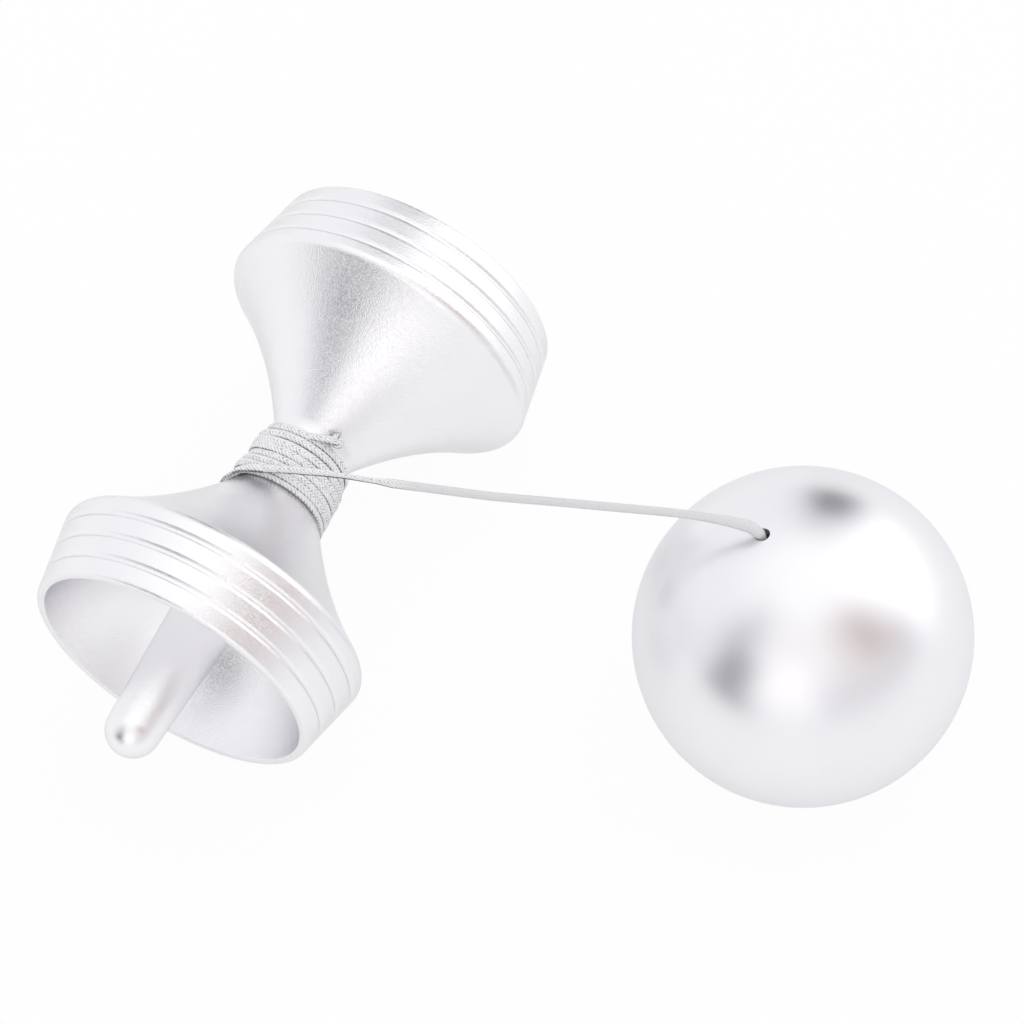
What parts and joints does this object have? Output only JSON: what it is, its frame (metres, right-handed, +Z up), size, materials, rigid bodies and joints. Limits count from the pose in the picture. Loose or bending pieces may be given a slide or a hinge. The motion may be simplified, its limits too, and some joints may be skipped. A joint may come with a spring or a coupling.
{
  "type": "cup and ball skill toy",
  "caption": "All-metal cup-and-ball toy: like cups joined at a slim waist, a tapered spike in one of them, and a bored ball on a string wound round the waist.",
  "frame": {"origin": "centre of the object's plan box, on the table it lies on", "axes": "+X from the handle towards the ball, +Y along the handle towards the plain cup, +Z up"},
  "size_m": [0.1286, 0.0894, 0.0506],
  "materials": {
    "cup_metal": "fine bead-blasted and clear anodised, satin",
    "spike_metal": "fine bead-blasted and clear anodised, satin",
    "ball_metal": "fine bead-blasted and clear anodised, satin",
    "string_braid": "light grey twisted synthetic braid",
    "bead_wood": "plain turned bead"
  },
  "bodies": {
    "handle": {"spike_cup": "cup_metal", "plain_cup": "cup_metal", "spike": "spike_metal", "string_under_turns": "string_braid", "string_winding": "string_braid", "string_tail": "string_braid"},
    "last_turn": {"string_last_turn": "string_braid"},
    "string": {"string_free": "string_braid", "string_in_ball": "string_braid", "stop_bead": "bead_wood", "end_knot": "string_braid"},
    "ball": {"ball": "ball_metal"}
  },
  "joints": [
    {"name": "string_lift", "type": "hinge", "parent": "handle", "child": "last_turn", "pos_m": [-0.0393, 0.0019, 0.025], "axis": [0, -1, 0], "range_deg": [0, 90]},
    {"name": "string_swing", "type": "hinge", "parent": "last_turn", "child": "string", "pos_m": [-0.04145, 0.0019, 0.03364], "axis": [0, 0, 1], "range_deg": [-45, 35]},
    {"name": "ball_spin", "type": "hinge", "parent": "string", "child": "ball", "pos_m": [0.0393, 0.0188, 0.025], "axis": [-0.3233, 0.0192, 0.9461], "continuous": true}
  ]
}
